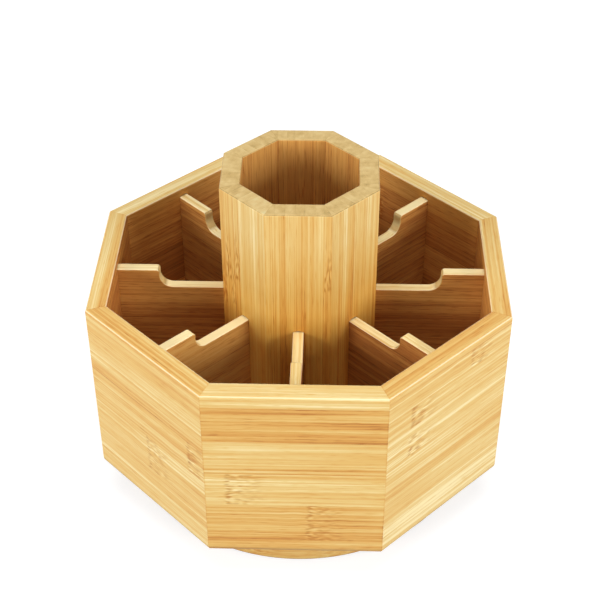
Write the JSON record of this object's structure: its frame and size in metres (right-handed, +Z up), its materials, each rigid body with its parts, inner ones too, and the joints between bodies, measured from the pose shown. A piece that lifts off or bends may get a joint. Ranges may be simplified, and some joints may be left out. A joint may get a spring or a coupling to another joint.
{
  "type": "rotating tool caddy",
  "caption": "Turning octagonal desk caddy in bamboo: mitred tray with stepped dividers round a tall centre tube, on a round base with a ball-race turntable.",
  "frame": {"origin": "middle of the plane that the foot pads stand on, on the turning axis", "axes": "+Z up along the turning axis, -Y towards the front panel, +X to the right of the front"},
  "size_m": [0.2, 0.2, 0.173],
  "materials": {
    "bamboo_wall": "satin varnish over laminated bamboo, grain along the panel",
    "bamboo_tube": "satin varnish over laminated bamboo, upright grain",
    "bamboo_divider": "satin varnish over bamboo ply",
    "bamboo_board": "satin varnish over laminated bamboo board",
    "zinc_steel": "zinc plated pressing",
    "screw_steel": "zinc plated",
    "ball_steel": "polished",
    "retainer_plastic": "natural nylon",
    "foot_rubber": "matt"
  },
  "bodies": {
    "base": {"base_disc": "bamboo_board", "bearing_lower_plate": "zinc_steel", "bearing_collar": "zinc_steel", "lower_plate_screws": "screw_steel", "foot_pad_1": "foot_rubber", "foot_pad_2": "foot_rubber", "foot_pad_3": "foot_rubber", "foot_pad_4": "foot_rubber"},
    "tray": {"wall_panel_front": "bamboo_wall", "wall_panel_front_right": "bamboo_wall", "wall_panel_right": "bamboo_wall", "wall_panel_back_right": "bamboo_wall", "wall_panel_back": "bamboo_wall", "wall_panel_back_left": "bamboo_wall", "wall_panel_left": "bamboo_wall", "wall_panel_front_left": "bamboo_wall", "tube_stave_front": "bamboo_tube", "tube_stave_front_right": "bamboo_tube", "tube_stave_right": "bamboo_tube", "tube_stave_back_right": "bamboo_tube", "tube_stave_back": "bamboo_tube", "tube_stave_back_left": "bamboo_tube", "tube_stave_left": "bamboo_tube", "tube_stave_front_left": "bamboo_tube", "divider_front": "bamboo_divider", "divider_front_right": "bamboo_divider", "divider_right": "bamboo_divider", "divider_back_right": "bamboo_divider", "divider_back": "bamboo_divider", "divider_back_left": "bamboo_divider", "divider_left": "bamboo_divider", "divider_front_left": "bamboo_divider", "tray_floor": "bamboo_board", "bearing_upper_plate": "zinc_steel", "upper_plate_screws": "screw_steel"},
    "ball_cage": {"bearing_balls": "ball_steel", "ball_retainer": "retainer_plastic"}
  },
  "joints": [
    {"name": "tray_turn", "type": "hinge", "parent": "base", "child": "tray", "pos_m": [0, 0, 0.0201], "axis": [0, 0, 1], "continuous": true},
    {"name": "cage_turn", "type": "hinge", "parent": "base", "child": "ball_cage", "pos_m": [0, 0, 0.0161], "axis": [0, 0, 1], "continuous": true}
  ],
  "couplings": [
    {"joint": "cage_turn", "follows": "tray_turn", "ratio": 0.5}
  ]
}
